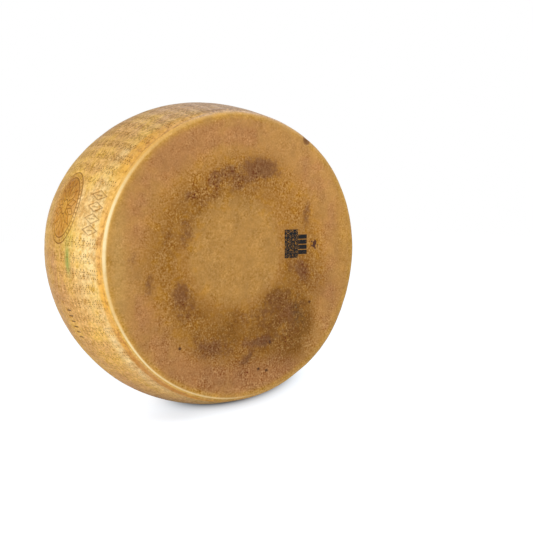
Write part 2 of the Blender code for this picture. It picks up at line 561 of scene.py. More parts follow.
# Soft patches on the faces: place and half sizes in millimetres, turn in degrees, and strength
FACE_PATCHES = {
    "blot": [
        (32, 119.5, 31, 17, -3, 1.06), (-6, 116, 30, 13, 6, 0.78), (3, 109, 16, 13, 0, 0.8),
        (-31, 110, 20, 14, 34, 0.76), (0, 96, 34, 8, 0, 0.66), (-46, 79, 22, 9, 30, 0.5),
        (-118, 76, 12, 10, 0, 0.5), (-78, 80, 14, 10, 40, 0.6), (-81, 36, 11, 28, 8, 0.74),
        (-110, 26, 8, 17, 0, 0.42), (-156, 0, 10, 18, 0, 0.42), (-135, -30, 10, 15, 10, 0.72),
        (-86, -48, 24, 18, -50, 0.74), (-84, -76, 20, 14, -40, 0.6), (-46, -121, 28, 15, -8, 0.86),
        (13, -83, 18, 12, 0, 0.68), (28, -118, 30, 8, 4, 0.98), (10, -139, 16, 5.5, 40, 0.98),
        # The blot at (83, -84) is widened over a painted shadow by the lower right rim
        (52, -70, 36, 18, 38, 0.66), (83, -84, 24, 28, 0, 0.66), (82, -3, 20, 10, 0, 0.46),
        (62, 14, 9, 20, 0, 0.4), (103, -24, 22, 13, -48, 0.92), (50, -94, 28, 12, 0, 0.4),
        (66, -112, 16, 12, 20, 0.55), (109, 55, 7.5, 24, -8, 0.74),
    ],
    "rosy": [
        (-100, 132, 60, 26, 42, 0.95), (-20, 165, 70, 18, 4, 0.9), (-142, 50, 22, 60, 0, 0.36),
        (-122, -90, 30, 50, 25, 0.8), (-70, -150, 75, 28, -28, 1), (30, -164, 70, 26, 10, 1),
        (150, 20, 24, 60, 0, 0.6), (120, 100, 35, 40, -40, 0.35), (140, -40, 30, 30, 0, 0.6),
    ],
    # Painted shade: darker toward the bottom, and a painted shadow beside the lower right rim
    "painted_shade": [
        (-14, -157, 56, 24, 0, 1), (66, -150, 28, 20, 20, 1.2), (-130, -94, 26, 20, 0, 0.3),
        (-22, -146, 18, 12, 0, 0.6), (132, -42, 30, 15, -22, 0.7), (45, 142, 50, 14, -12, 0.22),
    ],
    # Soot on the stains, and at (92, -77) and (97, -93) a painted shadow by the lower right rim
    "soot_and_shade": [
        (92, -77, 7, 10, 0, 1), (97, -93, 6, 11, 0, 1), (40, -118, 14, 6, 4, 0.7),
        (14, -138, 12, 4.5, 40, 0.6),
    ],
    "bright": [
        (5, 166, 60, 12, 0, 0.8), (128, 120, 50, 13, -48, 1.2), (160, 72, 10, 24, 15, 0.9),
        (-150, 88, 10, 24, -20, 0.9), (-150, -58, 12, 12, 0, 0.9), (142, 30, 14, 32, 0, 0.8),
        (80, 70, 18, 18, 0, 0.8), (-150, 45, 12, 30, 0, 0.8), (-105, 108, 40, 24, 45, 0.5),
        (100, 95, 30, 20, -45, 0.6), (42, -130, 24, 8, 0, 0.7), (2, -126, 14, 10, 0, 0.8),
    ],
    "scratched": [
        (-50, 96, 40, 18, 38, 1), (4, 106, 26, 12, 0, 0.8), (0, -130, 36, 16, 0, 0.7),
        (10, -152, 40, 12, 6, 0.5), (-92, -62, 26, 14, -50, 0.45), (90, 60, 18, 26, 0, 0.5),
    ],
}
MILLIMETRE = 0.001
PATCH_FALL = 0.8
PATCH_SQUARENESS = 2.6

# A brown ring around the faces' smooth middle: by angle, its inner and outer radius in millimetres and
# its strength, and how far it fades inside and outside the two radii
BROWN_RING = [
    (0, 68, 128, 0.46), (30, 73, 118, 0.28), (60, 78, 130, 0.3), (90, 76, 126, 0.48), (115, 80, 114, 0.46),
    (135, 80, 124, 0.6), (150, 80, 122, 0.5), (180, 90, 134, 0.43), (195, 84, 128, 0.34),
    (210, 80, 124, 0.5), (240, 72, 140, 0.56), (258, 66, 134, 0.7), (275, 68, 140, 0.6),
    (290, 68, 150, 0.74), (305, 66, 172, 0.98), (318, 67, 156, 1.04), (332, 72, 132, 0.7),
    (346, 68, 140, 0.54),
]
RING_FADES = ((-16, 16), (-19.2, 28.8))

# The radii where the faces' warm ring comes and goes, and their pale disc: place, half sizes and edge
WARM_REACH = (0.052, 0.076, 0.125, 0.16)
PALE_DISC = (-0.008, 0.012, 0.074, 0.078)
PALE_EDGE = (0.78, 1.18)

# How gritty the faces are at a distance from their middle, and how much more so low down near the rim
# and where they are scratched
GRIT_RADII = (0.055, 0.085, 0.108, 0.13, 0.15)
GRIT_SHARES = (0.42, 0.55, 0.74, 0.72, 0.5)
LOW_GRIT = 0.22
LOW_GRIT_RADII = (0.115, 0.15)
LOW_GRIT_DROP = (0.04, 0.12)
SCRATCHED = 0.55

# Strips near the shown rim: place and half sizes in millimetres
OLIVE_STRIP = (-178, -5, 11, 85)
GILT_STRIP = (174, 45, 12, 80)
GILT_STRENGTH = 0.7

# The other face has the shown face's own zones, turned
OTHER_FACE_TURN = math.radians(150)

# Soft patches on the side: degrees around, depth in millimetres, half sizes in both, and strength
SIDE_PATCHES = {
    "burnt": [(233, 8, 21, 12, 1)],
    # Painted sheen, pale where the side faces the light
    "painted_sheen": [(171, 28, 27, 34, 1), (214, 18, 30, 15, 0.78), (160, 67, 7, 7, 0.9), (138, 30, 5, 18, 0.6)],
    # Painted light, brighter where the side faces the light
    "painted_light": [
        (160, 80, 36, 80, 1), (206, 60, 20, 45, 0.8), (126, 78, 10, 30, 1.1), (114, 65, 10, 40, 0.7),
    ],
    # Tan, and at 242 degrees painted shade low on the side by the floor
    "tan_and_shade": [(190, 122, 26, 45, 1.05), (242, 90, 32, 85, 1), (99, 15, 12, 8, 1), (5, 115, 55, 200, 0.65)],
    # Grey dust, and a painted sheen of the white surround where the side is seen at a grazing angle
    "dust_and_sheen": [(84, 125, 33, 260, 1), (112, 200, 34, 90, 0.7)],
    # Painted shade, most on the underside by the floor
    "shady": [(258, 84, 16, 38, 1), (262, 10, 13, 40, 0.7), (99, 14, 9, 6, 0.5), (175, 97, 5, 17, 0.3)],
    "scorched": [(153.5, 105, 4.5, 30, 1), (172, 98, 2.6, 22, 0.6)],
    "green": [(179.5, 74.5, 4.6, 6.2, 1), (173, 74, 4, 13, 0.35)],
}

# The side greys toward the other face, between these depths: grey dust and a painted sheen where it is seen
# edge-on
FAR_GREY = 0.35
FAR_GREY_DEPTHS = (0.13, 0.21)

# The rows of dots show as bands: how far they reach aside, from which depth, how strong at least, and
# around which angle most
BAND_EDGE = (0.005, 0.0075)
BAND_ENDS = (0.01, 0.015)
BAND_LEAST = 0.35
BAND_LOBE = (125, 32)

# The oval's brown fades outward in two steps: by how much, and between which shares of the oval
OVAL_FADES = ((0.75, 0.76, 0.9), (0.25, 0.96, 1.06))

# The rounded rim is counted in its steps, from where the face ends. The side's colours take over from
# the face's, gilt comes and stays, and gold comes and goes, most where the light falls.
SIDE_STARTS = (0.45 * EDGE_STEPS, 0.75 * EDGE_STEPS)
GILT_STARTS = (0.3, 2.6)
GOLD_STARTS = (2.6, 4.5)
GOLD_FADE = 1.4
GOLD_LEAST = 0.15
LIT_LOBE = (180, 75)
AMBER_STARTS = (6.0, 7.6)
AMBER_FADE = 0.006

# Around the rims: the angle, the step where the gold ends, how far from the face the groove's amber
# reaches, and how strong that is
RIM_COLOURS = [
    (105, 5.0, 0.015, 0.1), (125, 7.0, 0.021, 0.6), (138, 6.8, 0.0215, 0.8),
    (150, 7.2, 0.016, 0.35), (163, 6.4, 0.012, 0.7), (178, 5.4, 0.0115, 0.85),
    (192, 5.2, 0.0115, 0.7), (205, 4.7, 0.0115, 0.8), (225, 4.8, 0.0115, 1.0),
    (245, 5.0, 0.0115, 0.9), (262, 4.6, 0.0115, 0.6),
]

# The rims' crest is worn pale and carries a painted highlight where it faces the light. Its paleness is the
# sum of some lobes: strength, angle, half width and power
CREST_LOBES = ((1.0, 168, 22, 2), (0.85, 217, 15, 2), (0.45, 250, 22, 4))
CREST_LEAST = 0.06
# Its middle and half width in steps of the rim, at its angle, and how they change when turned from it
# by so many degrees, before it, and past it between two turns
CREST_ANGLE = 168
CREST_TURN = 50
CREST_BEFORE = 8
CREST_PAST = (12, 32)
CREST_MIDDLE = (5.3, -1.3, 0.3, 0.38)
CREST_HALF_WIDTH = (1.35, -0.6, -0.1, -0.13)

# A small dark nick in the shown rim: angle and half width in degrees, step of the rim and half length
NICK_PLACE = (55.7, 1.8, 4.8, 3.0)
NICK_FALL = 1.5
NICK_DEPTH = 0.0012
NICK_BLACKNESS = 0.45

# The hand-made unevenness of the surface: the height and scale of two noises
UNDULATION = ((0.00045, 22), (0.00022, 60))


def patch(x, z, centre_x, centre_z, half_x, half_z, degrees=0.0):
    """1 at the middle of a soft patch, which is given in millimetres, falling to 0 well outside it."""
    turn = math.radians(degrees)
    off_x, off_z = x / MILLIMETRE - centre_x, z / MILLIMETRE - centre_z
    along = (off_x * math.cos(turn) + off_z * math.sin(turn)) / half_x
    across = (off_z * math.cos(turn) - off_x * math.sin(turn)) / half_z
    return np.exp(-PATCH_FALL * (np.abs(along) ** PATCH_SQUARENESS + np.abs(across) ** PATCH_SQUARENESS))


def side_patch(angle, depth, degrees, place, half_degrees, half_depth):
    off = degrees_off(angle, degrees)
    return np.exp(-((off / half_degrees) ** 2) - ((depth / MILLIMETRE - place) / half_depth) ** 2)


def strongest(form, first, second, patches):
    """The strongest of some patches of one form at each place."""
    return np.max([strength * form(first, second, *shape) for *shape, strength in patches], axis=0)


def lobe(angle, degrees, half_degrees, power=2):
    """1 at an angle around the wheel, falling to 0 away from it."""
    return np.exp(-((degrees_off(angle, degrees) / half_degrees) ** power))


def ramp(value, low, high):
    share = np.clip((value - low) / (high - low), 0, 1)
    return share * share * (3 - 2 * share)


def read_table(angle, table):
    """The columns of a table, whose first is degrees, at angles around the wheel."""
    degrees, *columns = np.array(table).T
    return [np.interp(np.degrees(angle), degrees, column, period=360) for column in columns]


def brown_ring(x, z):
    inner, outer, strength = read_table(np.arctan2(z, x), BROWN_RING)
    radius = np.hypot(x, z) / MILLIMETRE
    (inner_start, inner_end), (outer_start, outer_end) = RING_FADES
    inside = ramp(radius, inner + inner_start, inner + inner_end)
    return strength * inside * (1 - ramp(radius, outer + outer_start, outer + outer_end))


def face_zones(x, z):
    """How strongly the faces' own zones show at places on a face, by name."""
    radius = np.hypot(x, z)
    centre_x, centre_z, half_x, half_z = PALE_DISC
    off_disc = np.hypot((x - centre_x) / half_x, (z - centre_z) / half_z)
    zones = {name: strongest(patch, x, z, patches) for name, patches in FACE_PATCHES.items()}
    low_grit = LOW_GRIT * ramp(radius, *LOW_GRIT_RADII) * ramp(-z, *LOW_GRIT_DROP)
    scratched = SCRATCHED * zones.pop("scratched")
    return zones | {
        "stain": brown_ring(x, z),
        "warm": ramp(radius, *WARM_REACH[:2]) * (1 - ramp(radius, *WARM_REACH[2:])),
        "pale": 1 - ramp(off_disc, *PALE_EDGE),
        "grit": np.interp(radius, GRIT_RADII, GRIT_SHARES) + low_grit + scratched,
    }


def row_bands(angle, depth):
    """1 along the rows of dots and 0 between them."""
    pitch = math.tau / DOT_ROWS
    off = np.abs((angle - math.radians(ROW_ANGLE) + pitch / 2) % pitch - pitch / 2) * BELLY_RADIUS
    return (1 - ramp(off, *BAND_EDGE)) * ramp(depth, *BAND_ENDS) * ramp(WIDTH - depth, *BAND_ENDS)


def rim_crest(angle, ring):
    """How far each place lies from the middle of the rims' crest, as a share of its half width, and how pale
    the crest is there, where it is worn and carries a painted highlight. It is widest where it faces the
    light."""
    off = degrees_off(angle, CREST_ANGLE)
    turned = np.clip(np.abs(off) / CREST_TURN, 0, 1)
    before = np.clip(-off / CREST_BEFORE, 0, 1)
    past = ramp(off, *CREST_PAST)
    middle = np.dot(CREST_MIDDLE, [np.ones_like(off), turned, before, past])
    half_width = np.dot(CREST_HALF_WIDTH, [np.ones_like(off), turned**2, before, past])
    paleness = sum(strength * lobe(angle, *form) for strength, *form in CREST_LOBES)
    return (ring - middle) / half_width, np.minimum(CREST_LEAST + paleness, 1.0)


def surface_zones(angle, station, x, z):
    """For each point, how strongly each kind of colour shows there, by name."""
    depth = depth_of(station)
    from_rim = np.minimum(depth, WIDTH - depth)
    on_front = station < FIRST_BELLY
    ring = np.minimum(station, LAST_STATION - station) - FACE_RINGS
    side = ramp(ring, *SIDE_STARTS)
    turned = (x + 1j * z) * np.where(on_front, 1, np.exp(1j * OTHER_FACE_TURN))
    on_face = face_zones(turned.real, turned.imag)
    on_side = {name: strongest(side_patch, angle, depth, patches)
               for name, patches in SIDE_PATCHES.items()}
    off_crest, wear_and_highlight = rim_crest(angle, ring)
    gold_end, amber_end, amber = read_table(angle, RIM_COLOURS)
    gold = ramp(ring, *GOLD_STARTS) * (1 - ramp(ring, gold_end, gold_end + GOLD_FADE))
    bands = row_bands(angle, depth)
    banded = (BAND_LEAST + (1 - BAND_LEAST) * lobe(angle, *BAND_LOBE)) * side
    oval = 1 - sum(share * ramp(oval_share(angle, depth), *fade) for share, *fade in OVAL_FADES)
    return {name: values * (1 - side) for name, values in on_face.items()} | on_side | {
        "side": side,
        "front": on_front.astype(float),
        "olive": patch(x, z, *OLIVE_STRIP) * (1 - side) * on_front,
        "gilt": np.maximum(ramp(ring, *GILT_STARTS), GILT_STRENGTH * patch(x, z, *GILT_STRIP) * on_front),
        "gold": gold * (GOLD_LEAST + (1 - GOLD_LEAST) * lobe(angle, *LIT_LOBE)),
        "amber": amber * ramp(ring, *AMBER_STARTS) * (1 - ramp(from_rim, amber_end, amber_end + AMBER_FADE)),
        "off_crest": off_crest,
        "wear_and_highlight": wear_and_highlight,
        "row": banded * bands,
        "ridge": banded * (1 - bands),
        "dust_and_sheen": np.maximum(on_side["dust_and_sheen"], FAR_GREY * ramp(depth, *FAR_GREY_DEPTHS)),
        "oval": oval * side,
    }


def nick_shape(angle, station):
    """1 in the middle of the nick in the shown rim, falling to 0 around it."""
    degrees, half_degrees, step, half_steps = NICK_PLACE
    off = degrees_off(angle, degrees) / half_degrees
    along = (station - FACE_RINGS - step) / half_steps
    return np.exp(-((off**2 + along**2) ** NICK_FALL))


def undulation(places):
    """How far the surface stands out at each place."""
    return np.array([sum(height * noise.noise(Vector(place) * scale) for height, scale in UNDULATION)
                     for place in places])


def add_object(name, data):
    made = bpy.data.objects.new(name, data)
    bpy.context.scene.collection.objects.link(made)
    return made


def build_wheel():
    """The rind's mesh with its zones as attributes, and the height of the wheel's middle."""
    add_face_cells()
    add_side_cells()
    column, station, sunk, dark = np.array(points).T
    angle = angle_of(column)
    radius, axial = (np.interp(station, np.arange(len(STATIONS)), values) for values in STATIONS.T)
    places = uneven_points(radius, axial, angle)
    places[:, 2] = np.maximum(places[:, 2], places[:, 2].min() + FLAT_DEPTH)
    low, high = places.min(axis=0), places.max(axis=0)
    shift = (wheel_low + wheel_high) / 2 - (low + high) / 2
    shift[2] = wheel_low[2] - low[2]
    places += shift

    mesh = bpy.data.meshes.new("cheese_rind")
    mesh.from_pydata([tuple(place) for place in places], [], faces)
    mesh.shade_smooth()
    normals = np.empty(len(points) * 3)
    mesh.vertex_normals.foreach_get("vector", normals)
    on_belly = (station > FIRST_BELLY) & (station < LAST_BELLY)
    (line_sunk, line_dark, _), (dash_sunk, dash_dark, _) = (
        stroke_relief(flat_places(angle, station), strokes) for strokes in (LINE_STROKES, DASH_STROKES))
    nick = nick_shape(angle, station)
    sunk = sunk + np.maximum(line_sunk, dash_sunk) * on_belly + NICK_DEPTH * nick
    mark = np.maximum(np.maximum(dark, line_dark) * on_belly, nick)
    black = np.maximum(np.where(on_belly, dash_dark, dark), NICK_BLACKNESS * nick)
    relief = undulation(places) - sunk
    places += normals.reshape(-1, 3) * relief[:, None]
    places = np.clip(places, wheel_low, wheel_high)
    mesh.vertices.foreach_set("co", places.ravel())

    zones = surface_zones(angle, station, places[:, 0], places[:, 2] - shift[2])
    for name, values in (zones | {"mark": mark, "black": black}).items():
        layer = mesh.attributes.new(name, "FLOAT", "POINT")
        layer.data.foreach_set("value", values.astype(np.float32))
    mesh.update()
    mesh.validate()
    return add_object("cheese_rind", mesh), shift[2]


class Nodes:
    """Adds nodes to a tree. An input is a value or another node's output."""

    def __init__(self, tree):
        self.tree = tree

    def connect(self, node, inputs):
        """Sets a node's inputs, by name or number. A colour is given without its alpha."""
        for key, value in inputs.items():
            socket = node.inputs[key]
            if isinstance(value, bpy.types.NodeSocket):
                self.tree.links.new(value, socket)
            else:
                socket.default_value = (*value, 1.0) if socket.type == "RGBA" else value

    def add(self, kind, inputs=None, **settings):
        made = self.tree.nodes.new("ShaderNode" + kind)
        for name, value in settings.items():
            setattr(made, name, value)
        self.connect(made, inputs or {})
        return made

    def zone(self, name):
        return self.add("Attribute", attribute_name=name).outputs["Fac"]

    def maths(self, operation, first, second=0.0, clamp=False):
        return self.add("Math", {0: first, 1: second}, operation=operation, use_clamp=clamp).outputs[0]

    def vector(self, operation, first, second=(0.0, 0.0, 0.0), scale=1.0, output="Vector"):
        inputs = {0: first, 1: second, 3: scale}
        return self.add("VectorMath", inputs, operation=operation).outputs[output]

    def chain(self, operation, *values):
        total = values[0]
        for value in values[1:]:
            total = self.maths(operation, total, value)
        return total

    plus = partialmethod(chain, "ADD")
    minus = partialmethod(chain, "SUBTRACT")
    times = partialmethod(chain, "MULTIPLY")

    def size(self, value):
        return self.maths("ABSOLUTE", value)

    def falling(self, value):
        """1 where a value is 0, falling toward 0 as it grows."""
        return self.maths("EXPONENT", self.times(value, -1.0))

    def swing(self, cloud, *strength):
        """How far a noise is above or below its middle, made this much stronger."""
        return self.times(self.minus(cloud, 0.5), *strength)

    def remap(self, value, low, high, least=0.0, most=1.0):
        """Goes smoothly from least to most as the value goes from low to high."""
        inputs = {"Value": value, "From Min": low, "From Max": high, "To Min": least, "To Max": most}
        return self.add("MapRange", inputs, interpolation_type="SMOOTHSTEP").outputs["Result"]

    def blend(self, share, first, second):
        """The first colour, with this share of the second over it."""
        return self.add("Mix", {"Factor": share, 6: first, 7: second}, data_type="RGBA").outputs[2]

    def layer(self, colour, name, tone, *strength, broken=None):
        """The colour with a tone over it where a zone shows. What remap makes of a noise may break it up."""
        broken_up = [self.remap(*broken)] if broken else []
        return self.blend(self.times(self.zone(name), *broken_up, *strength), colour, tone)

    def clouds(self, place, table):
        """A noise for each row of a table, 0 to 1 and about 0.5 in the middle."""
        made = []
        for grain, detail, roughness, *squash in table.values():
            at = self.add("Mapping", {"Vector": place, "Scale": squash[0]}).outputs[0] if squash else place
            inputs = {"Vector": at, "Scale": 1 / grain, "Detail": detail, "Roughness": roughness}
            made.append(self.add("TexNoise", inputs).outputs["Fac"])
        return made

    def grained(self, colour, tone, cloud):
        """The colour with a fine grain of this tone added or taken away, as a noise says."""
        total = self.vector("ADD", colour, self.vector("SCALE", tone, scale=cloud))
        return self.vector("MAXIMUM", total, DARKEST)

    def lit_or_seen(self, lit, seen):
        """One value for light that falls on things, and another for what the eye sees."""
        return self.remap(self.add("LightPath").outputs["Is Camera Ray"], 0.0, 1.0, lit, seen)


def new_material(name):
    """A new material, the nodes of its tree and its shader."""
    material = bpy.data.materials.new(name)
    material.use_nodes = True
    n = Nodes(material.node_tree)
    return material, n, n.tree.nodes["Principled BSDF"]


# Colours of the rind. A grain's tone is much paler than the rind, so that its hue stays even.
FACE_GRAIN = (0.39, 0.27, 0.127)
SIDE_GRAIN = (0.69, 0.5, 0.24)
DARKEST = (0.01, 0.005, 0.001)
FACE_GOLD = (0.5, 0.25, 0.055)
FACE_OCHRE = (0.505, 0.247, 0.06)
FACE_ROSY = (0.466, 0.21, 0.062)
FACE_WARM = (0.5, 0.23, 0.043)
FACE_GLOW = (0.57, 0.258, 0.024)
FACE_SHADE = (0.33, 0.138, 0.045)
FACE_LIGHT = (0.68, 0.4, 0.13)
RING_BROWN = (0.208, 0.078, 0.002)
BLOT_BROWN = (0.206, 0.078, 0.021)
OLIVE = (0.59, 0.326, 0.084)
RIM_GILT = (0.548, 0.277, 0.043)
RIM_GOLD = (0.85, 0.472, 0.105)
SIDE_GOLD = (0.79, 0.462, 0.066)
SIDE_TAN = (0.66, 0.358, 0.088)
SIDE_GREY = (0.75, 0.575, 0.47)
SIDE_CREAM = (0.915, 0.69, 0.33)
SIDE_BROWN = (0.4, 0.19, 0.045)
SIDE_TAN_AND_SHADE = (0.532, 0.25, 0.086)
AMBER = (0.9, 0.44, 0.045)
AMBER_DARK = (0.5, 0.19, 0.022)
RIM_CREAM = (0.995, 0.81, 0.435)
OVAL_BROWN = (0.62, 0.258, 0.024)
OVAL_DARK = (0.27, 0.085, 0.018)
MARK_BROWN = (0.23, 0.08, 0.002)
PIT_BROWN = (0.1, 0.034, 0.008)
INK_GREEN = (0.27, 0.4, 0.08)
INK_BLACK = (0.005, 0.006, 0.007)
RUST_RED = (0.09, 0.03, 0.012)

# The noises in the rind: size of the lumps, detail and roughness, and for some how far they are
# squashed along x, y and z
FACE_CLOUDS = {
    "broad": (0.05, 3, 0.55), "soft": (0.02, 1, 0.55), "mottle": (0.018, 4, 0.62), "fine": (0.006, 4, 0.7),
    "grain": (0.0024, 1, 0.55), "glow": (0.014, 2, 0.55), "thread": (0.01, 3, 0.7),
}
SIDE_CLOUDS = {
    "streaks": (0.006, 4, 0.55, (0.2, 1.0, 0.2)), "broad": (0.045, 3, 0.55), "mottle": (0.0095, 5, 0.65),
    "fine": (0.0034, 3, 0.6), "wrinkles": (0.003, 2, 0.55, (1.0, 0.45, 1.0)),
    "squiggles": (0.006, 2, 0.55, (1.0, 0.7, 1.0)),
}
RIND_CLOUDS = {
    "worn": (0.01, 3, 0.55), "ink_grit": (0.003, 3, 0.55), "pores": (0.0011, 2, 0.55),
    "leather": (0.0045, 4, 0.65),
}
RUST_CLOUDS = {"splash": (0.0034, 1, 0.55)}

# The printed block on the shown face, the bars and the small rust mark beside it
BLOCK_CENTRE = (0.0838, 0.0158)
BLOCK_SIZE = (0.0225, 0.04)
BLOCK_MOTIFS = (4.0, 7.0)
LOZENGE_LINE = 0.3
LOZENGE_EDGE = (0.014, 0.046)
BARS_CENTRE = (0.1028, 0.0145)
BARS_SIZE = (0.015, 0.029)
BARS = 4.0
BAR_EDGE = (0.46, 0.38)
PRINT_SOFTNESS = 0.0004
RUST_CENTRE = (0.1235, 0.014)
RUST_RADIUS = 0.0078
RUST_REACH = 0.26
RUST_EDGE = (0.565, 0.64)

# The rind's fine relief and gloss
PORE_SHARE = 0.35
BUMP_STRENGTH = 0.55
BUMP_DISTANCE = 0.0006
ROUGHNESS = (0.46, 0.66)
RIND_GLOSS = {"IOR": 1.46, "Specular IOR Level": 0.32}


def box_mask(n, x, z, centre, size):
    """1 inside an upright box on the face, and the place in it, 0 to 1 each way."""
    masks, shares = [], []
    for value, middle, length in zip((x, z), centre, size):
        off = n.minus(value, middle)
        masks.append(n.remap(n.size(off), length / 2 + PRINT_SOFTNESS, length / 2 - PRINT_SOFTNESS))
        shares.append(n.plus(n.maths("DIVIDE", off, length), 0.5))
    return n.times(*masks), shares


def off_middle(n, share, count):
    """How far a place is from the middle of its repeat, 0 to 0.5."""
    return n.size(n.swing(n.maths("FRACT", n.times(share, count))))


def printed_ink(n, x, z, grit):
    """The print: a dark block of open lozenges, and plain bars beside it."""
    block, shares = box_mask(n, x, z, BLOCK_CENTRE, BLOCK_SIZE)
    off = n.plus(*(off_middle(n, share, count) for share, count in zip(shares, BLOCK_MOTIFS)))
    lozenges = n.remap(n.size(n.minus(off, LOZENGE_LINE)), *LOZENGE_EDGE)
    block = n.times(block, lozenges, n.remap(grit, 0.37, 0.45, least=0.25))
    bars, (_, up) = box_mask(n, x, z, BARS_CENTRE, BARS_SIZE)
    bars = n.times(bars, n.remap(off_middle(n, up, BARS), *BAR_EDGE), n.remap(grit, 0.34, 0.44, least=0.75))
    return n.maths("MAXIMUM", block, bars)


def rust_mark(n, place, x, z):
    """A small splash of dots, thickest in its middle."""
    squares = [n.maths("POWER", n.minus(value, middle), 2.0) for value, middle in zip((x, z), RUST_CENTRE)]
    distance = n.maths("SQRT", n.plus(*squares))
    nearness = n.remap(distance, RUST_RADIUS, 0.0, most=RUST_REACH)
    splash = n.remap(n.plus(*n.clouds(place, RUST_CLOUDS), nearness), *RUST_EDGE)
    return n.times(splash, n.remap(distance, RUST_RADIUS, 0.8 * RUST_RADIUS))


def face_colour(n, place):
    """The faces: a smooth golden middle inside a mottled ochre ring with brown stains, and painted shade low
    down.
    """
    broad, soft, mottle, fine, grain, glow, thread = n.clouds(place, FACE_CLOUDS)
    smooth = n.remap(n.plus(n.zone("pale"), n.swing(mottle, 1.2)), 0.15, 0.85)
    rosy = n.plus(n.zone("rosy"), n.swing(broad, 2.0), n.swing(soft, 1.6))
    ring = n.blend(n.remap(rosy, 0.0, 0.9), FACE_OCHRE, FACE_ROSY)
    ring = n.layer(ring, "warm", FACE_WARM)
    # Painted shade over the ring, darker toward the bottom and by the lower right rim
    ring = n.layer(ring, "painted_shade", FACE_SHADE, 0.6)
    colour = n.blend(smooth, ring, FACE_GOLD)
    colour = n.layer(colour, "warm", FACE_GLOW, 0.6, broken=(glow, 0.48, 0.66))
    colour = n.layer(colour, "olive", OLIVE, 0.8)
    colour = n.layer(colour, "gilt", RIM_GILT, broken=(soft, 0.36, 0.6, 0.4, 0.9))
    colour = n.layer(colour, "gold", RIM_GOLD, 0.9)

    # The brown ring, and darker blots that cover its pale flecks
    uneven = n.plus(1.0, n.swing(mottle, 2.8), n.swing(fine, 1.5))
    stained = n.maths("MULTIPLY", n.zone("stain"), uneven, clamp=True)
    colour = n.blend(stained, colour, RING_BROWN)
    blot = n.plus(n.zone("blot"), n.swing(mottle, 1.4), n.swing(fine, 0.9))
    blotted = n.remap(blot, 0.25, 0.95, most=0.9)
    colour = n.blend(blotted, colour, BLOT_BROWN)
    threads = n.times(n.remap(n.size(n.swing(thread)), 0.03, 0.004), n.remap(fine, 0.46, 0.6))
    flecks = n.maths("MAXIMUM", n.remap(grain, 0.6, 0.72), threads)
    stain_flecks = n.times(n.zone("stain"), n.times(n.minus(1.0, blotted), 0.28))
    colour = n.blend(n.times(flecks, n.plus(stain_flecks, 0.06)), colour, FACE_LIGHT)

    # Light and dark, with soot and a painted shadow darkening it, and a grain that is calmer on the stains
    soot_and_shade_dark = n.times(n.zone("soot_and_shade"), n.remap(fine, 0.4, 0.6, least=0.35))
    light = n.plus(1.0, n.times(n.zone("bright"), 0.1), n.times(soot_and_shade_dark, -0.42), n.swing(mottle, 0.6))
    colour = n.vector("SCALE", colour, scale=light)
    rough = n.plus(n.swing(fine), n.swing(grain, 1.6))
    calm = n.plus(1.0, n.times(n.maths("MAXIMUM", stained, blotted), -0.5))
    calm = n.times(calm, n.remap(soft, 0.35, 0.65, 0.6, 1.4))
    return n.grained(colour, FACE_GRAIN, n.times(rough, n.times(n.zone("grit"), calm)))


def side_colour(n, place):
    """The side: golden, streaked along its length, paler where it faces the light, and with painted shade
    low down.
    """
    streaks, broad, mottle, fine, wrinkles, squiggles = n.clouds(place, SIDE_CLOUDS)
    colour = n.blend(n.remap(broad, 0.38, 0.6), SIDE_GOLD, SIDE_TAN)
    colour = n.blend(n.times(n.remap(streaks, 0.5, 0.7), 0.45), colour, SIDE_TAN)
    # Tan, with painted shade low on the side
    colour = n.layer(colour, "tan_and_shade", SIDE_TAN_AND_SHADE, 0.75, broken=(streaks, 0.3, 0.6, 0.55))
    # A painted sheen where the side faces the light
    colour = n.layer(colour, "painted_sheen", SIDE_CREAM, 0.85, broken=(mottle, 0.3, 0.6))
    # Grey dust and a painted sheen
    colour = n.layer(colour, "dust_and_sheen", SIDE_GREY, broken=(streaks, 0.3, 0.62, 0.45))
    colour = n.blend(n.times(n.remap(mottle, 0.5, 0.28), 0.28), colour, SIDE_BROWN)
    colour = n.layer(colour, "row", SIDE_BROWN, 0.5, broken=(n.size(n.swing(squiggles)), 0.055, 0.008, 0.18))

    # Painted light and painted shade, a little more light between the rows and where the side is grey, and a
    # grain that is stronger in the oval and where the side is grey
    weights = {"painted_light": 0.17, "shady": -0.56, "ridge": 0.05, "dust_and_sheen": 0.07}
    light = n.plus(1.0, *(n.times(n.zone(name), weight) for name, weight in weights.items()))
    colour = n.vector("SCALE", colour, scale=n.plus(light, n.swing(streaks, 0.3)))
    rough = n.plus(n.swing(fine, 0.95), n.swing(wrinkles, 0.85))
    speckled = n.plus(1.0, n.times(n.zone("oval"), 0.5), n.times(n.zone("dust_and_sheen"), 0.6))
    colour = n.grained(colour, SIDE_GRAIN, n.times(rough, speckled))

    # The oval, the groove's amber, which is darker where it is burnt, the rim's gold and the green ink
    colour = n.layer(colour, "oval", OVAL_BROWN, broken=(mottle, 0.25, 0.62, 1.0, 0.5))
    scorched = n.times(n.zone("scorched"), n.zone("oval"), n.remap(fine, 0.4, 0.62, least=0.25), 0.75)
    colour = n.blend(scorched, colour, OVAL_DARK)
    fresh = n.plus(n.remap(mottle, 0.36, 0.56), n.times(n.zone("burnt"), -1.3))
    amber = n.blend(n.maths("MAXIMUM", fresh, 0.0), AMBER_DARK, AMBER)
    colour = n.layer(colour, "amber", amber, broken=(broad, 0.38, 0.6, 1.0, 0.7))
    colour = n.layer(colour, "gold", RIM_GOLD, 0.9)
    return n.layer(colour, "green", INK_GREEN, 0.95, broken=(streaks, 0.34, 0.56, 0.3))


